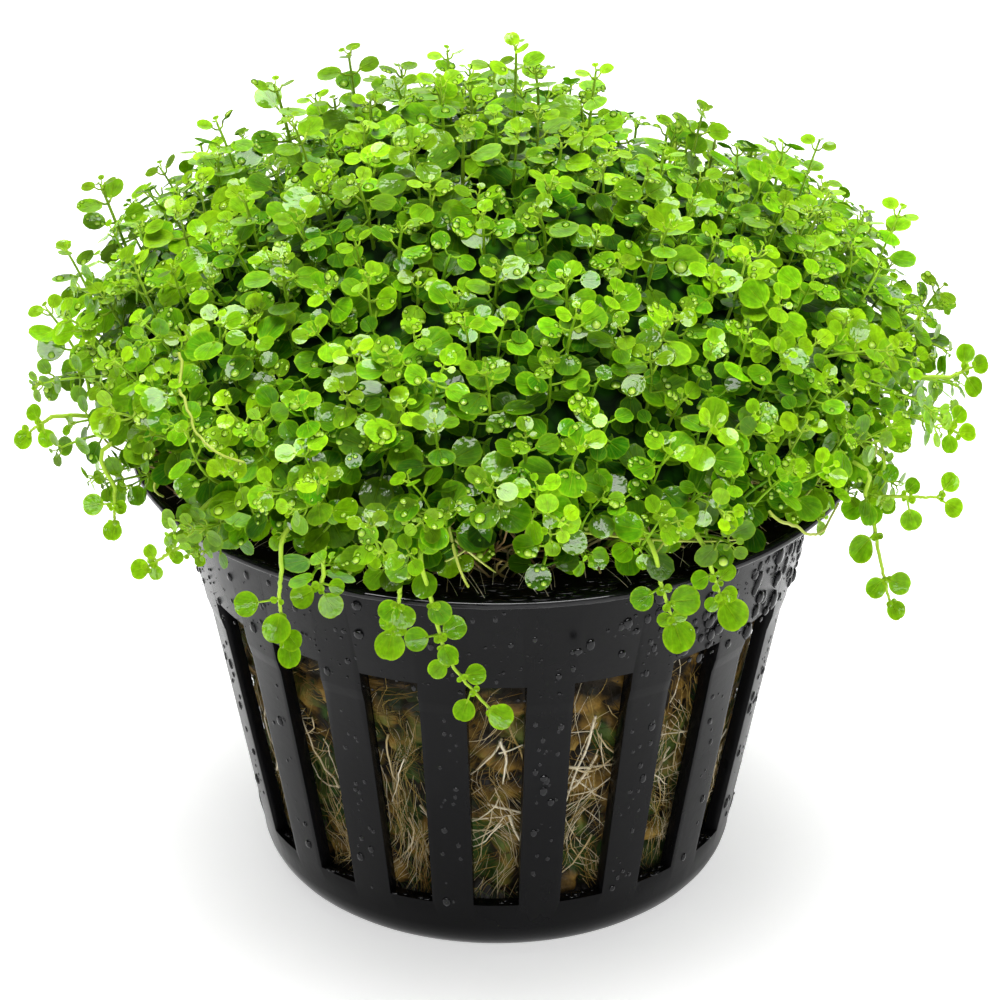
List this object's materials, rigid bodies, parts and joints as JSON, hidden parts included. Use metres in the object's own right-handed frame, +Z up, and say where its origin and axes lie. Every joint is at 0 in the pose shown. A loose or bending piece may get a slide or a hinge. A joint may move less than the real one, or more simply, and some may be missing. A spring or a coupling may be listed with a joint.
{
  "type": "potted aquarium plant",
  "caption": "Potted dwarf baby tears: a low dome of tiny round bright green leaves on creeping stems, rooted in a rockwool plug in a black slotted net pot, with stems trailing over the rim.",
  "frame": {"origin": "middle of the flat underside of the pot's base", "axes": "+Z up along the pot's axis, -Y towards the viewer's side, +X to the viewer's right"},
  "size_m": [0.0679, 0.0645, 0.0619],
  "materials": {
    "black_plastic": "wet satin black moulded plastic",
    "rockwool": "wet brown mineral wool with moss and roots",
    "leaf_green": "fresh green leaf, slightly glossy and wet",
    "young_leaf": "young yellow-green leaf, slightly glossy"
  },
  "bodies": {
    "root": {"net_pot": "black_plastic", "rockwool_plug": "rockwool", "leaf_mound": "leaf_green", "trailing_stem_front_1": "young_leaf", "trailing_stem_front_2": "young_leaf", "trailing_stem_front_3": "young_leaf", "trailing_stem_front_4": "young_leaf", "trailing_stem_front_5": "young_leaf", "trailing_stem_front_6": "young_leaf", "trailing_stem_right_1": "young_leaf", "trailing_stem_right_2": "young_leaf", "trailing_stem_right_3": "young_leaf", "trailing_stem_right_4": "young_leaf", "trailing_stem_left_1": "young_leaf", "trailing_stem_left_2": "young_leaf", "trailing_stem_left_3": "young_leaf", "trailing_stem_back_1": "young_leaf", "trailing_stem_back_2": "young_leaf", "trailing_stem_back_3": "young_leaf", "trailing_stem_back_4": "young_leaf", "trailing_stem_back_5": "young_leaf", "trailing_stem_back_6": "young_leaf", "trailing_stem_back_7": "young_leaf"}
  },
  "joints": []
}
